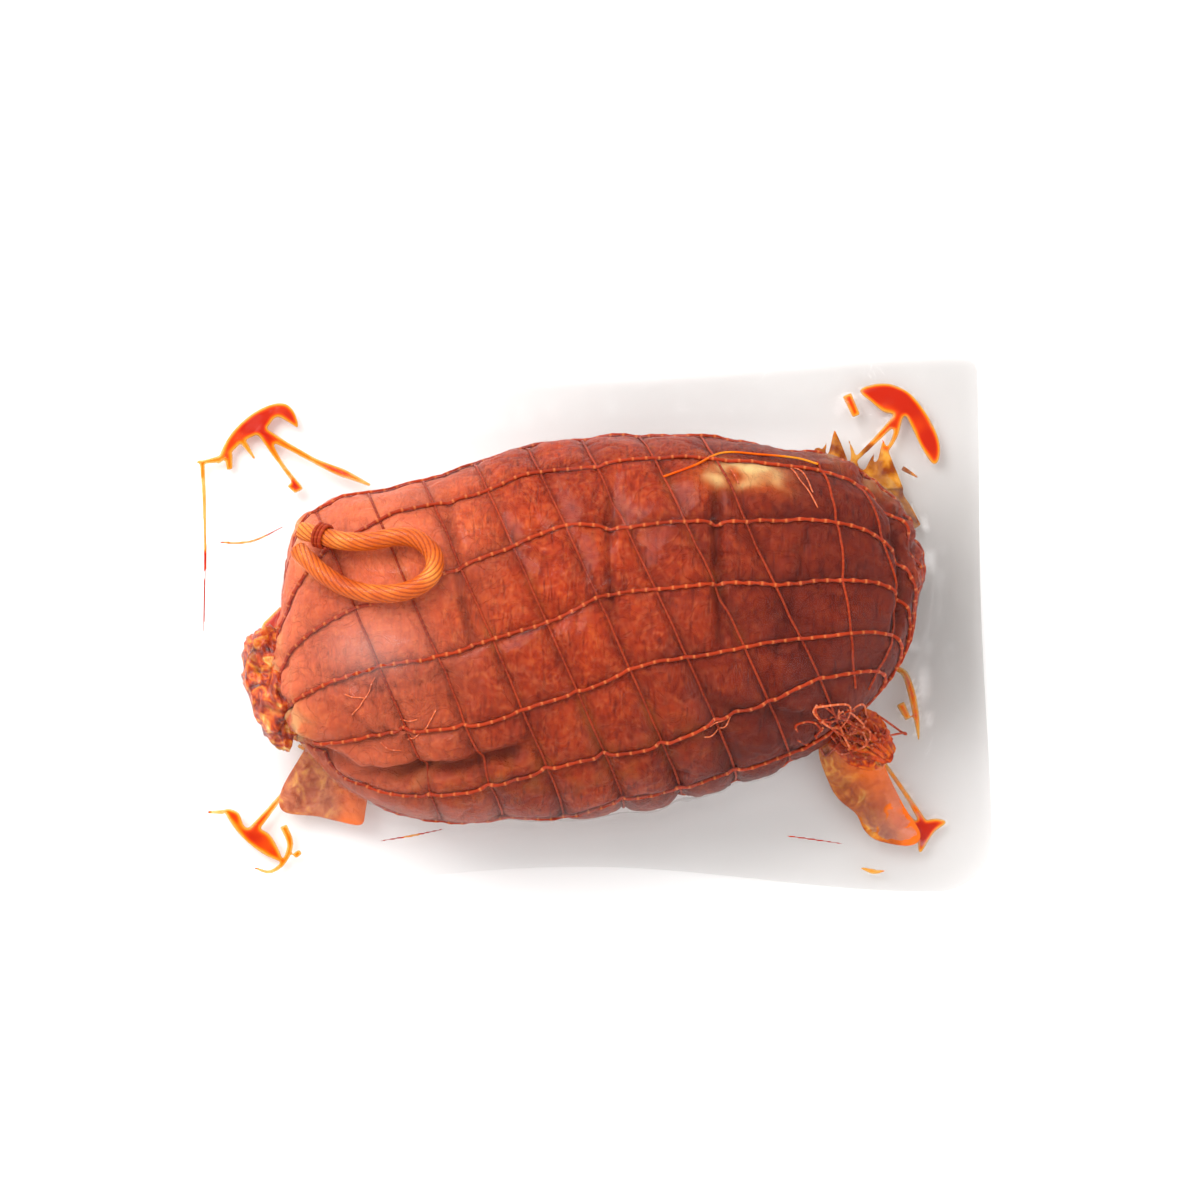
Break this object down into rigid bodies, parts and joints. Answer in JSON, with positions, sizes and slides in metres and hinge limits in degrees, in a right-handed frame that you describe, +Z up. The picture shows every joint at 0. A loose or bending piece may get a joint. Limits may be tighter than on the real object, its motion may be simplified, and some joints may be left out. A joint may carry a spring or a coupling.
{
  "type": "cured sausage",
  "caption": "Large cured sausage in a natural casing and knitted elastic net, with a hanging loop of twisted cord, lying in a clear vacuum pack.",
  "frame": {"origin": "on the resting surface, under the middle of the pack", "axes": "+X along the sausage from its tied left end to the gathered end of the net, +Y across it away from the folded casing tail, +Z up"},
  "size_m": [0.3094, 0.2038, 0.1021],
  "materials": {
    "casing": "moist natural casing, brick red with paprika",
    "elastic": "knitted elastic thread, stained orange",
    "twine": "twisted cotton cord, stained orange",
    "fat": "clear orange paprika fat",
    "film": "clear glossy film"
  },
  "bodies": {
    "root": {"sausage": "casing", "casing_knot": "casing", "net_gather": "elastic", "hanging_loop": "twine", "loop_binding": "elastic", "casing_tail": "casing", "net_tail": "elastic", "film_upper": "film", "film_lower": "film", "fat_upper_left": "fat", "fat_upper_right": "fat", "fat_lower_left": "fat", "fat_lower_right": "fat", "net_hoop_01": "elastic", "net_hoop_02": "elastic", "net_hoop_03": "elastic", "net_hoop_04": "elastic", "net_hoop_05": "elastic", "net_hoop_06": "elastic", "net_hoop_07": "elastic", "net_hoop_08": "elastic", "net_strand_01": "elastic", "net_strand_02": "elastic", "net_strand_03": "elastic", "net_strand_04": "elastic", "net_strand_05": "elastic", "net_strand_06": "elastic", "net_strand_07": "elastic", "net_strand_08": "elastic", "net_strand_09": "elastic", "net_strand_10": "elastic", "net_strand_11": "elastic", "net_strand_12": "elastic", "net_strand_13": "elastic"}
  },
  "joints": []
}
